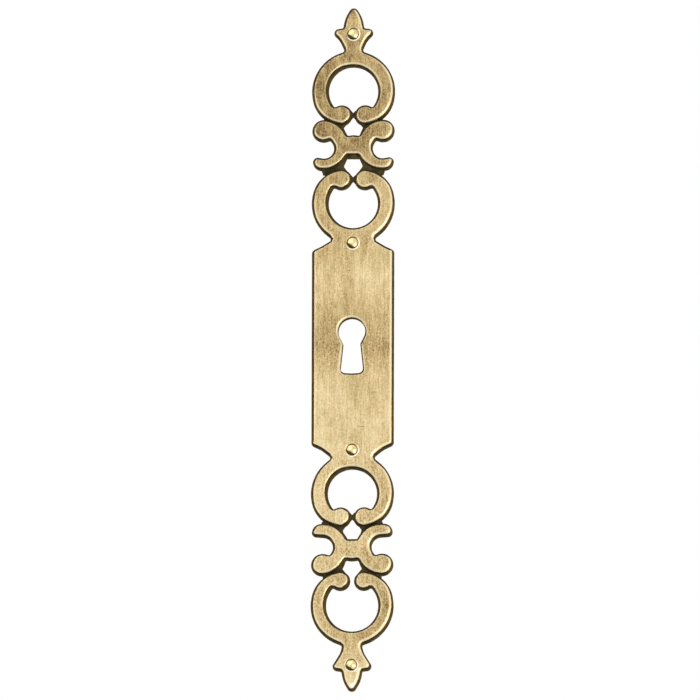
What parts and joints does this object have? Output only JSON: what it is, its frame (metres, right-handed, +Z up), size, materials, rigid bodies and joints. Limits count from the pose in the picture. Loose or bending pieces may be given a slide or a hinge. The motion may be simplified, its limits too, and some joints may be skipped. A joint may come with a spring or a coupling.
{
  "type": "keyhole escutcheon",
  "caption": "Tall pierced keyhole plate with pairs of scrollwork rings, leaf finials and domed fixing pins, laid flat on a drawer front or a cupboard door.",
  "frame": {"origin": "middle of the plate, in the plane of its back", "axes": "+Z up along the escutcheon's length, +X to the right as the face is looked at, +Y out of the back, so the face looks towards -Y"},
  "size_m": [0.0222, 0.0135, 0.1852],
  "materials": {
    "casting": "aged, brushed by hand",
    "pins": "satin"
  },
  "bodies": {
    "root": {"plate": "casting", "pin_top_finial": "pins", "pin_top_neck": "pins", "pin_bottom_neck": "pins", "pin_bottom_finial": "pins"}
  },
  "joints": []
}
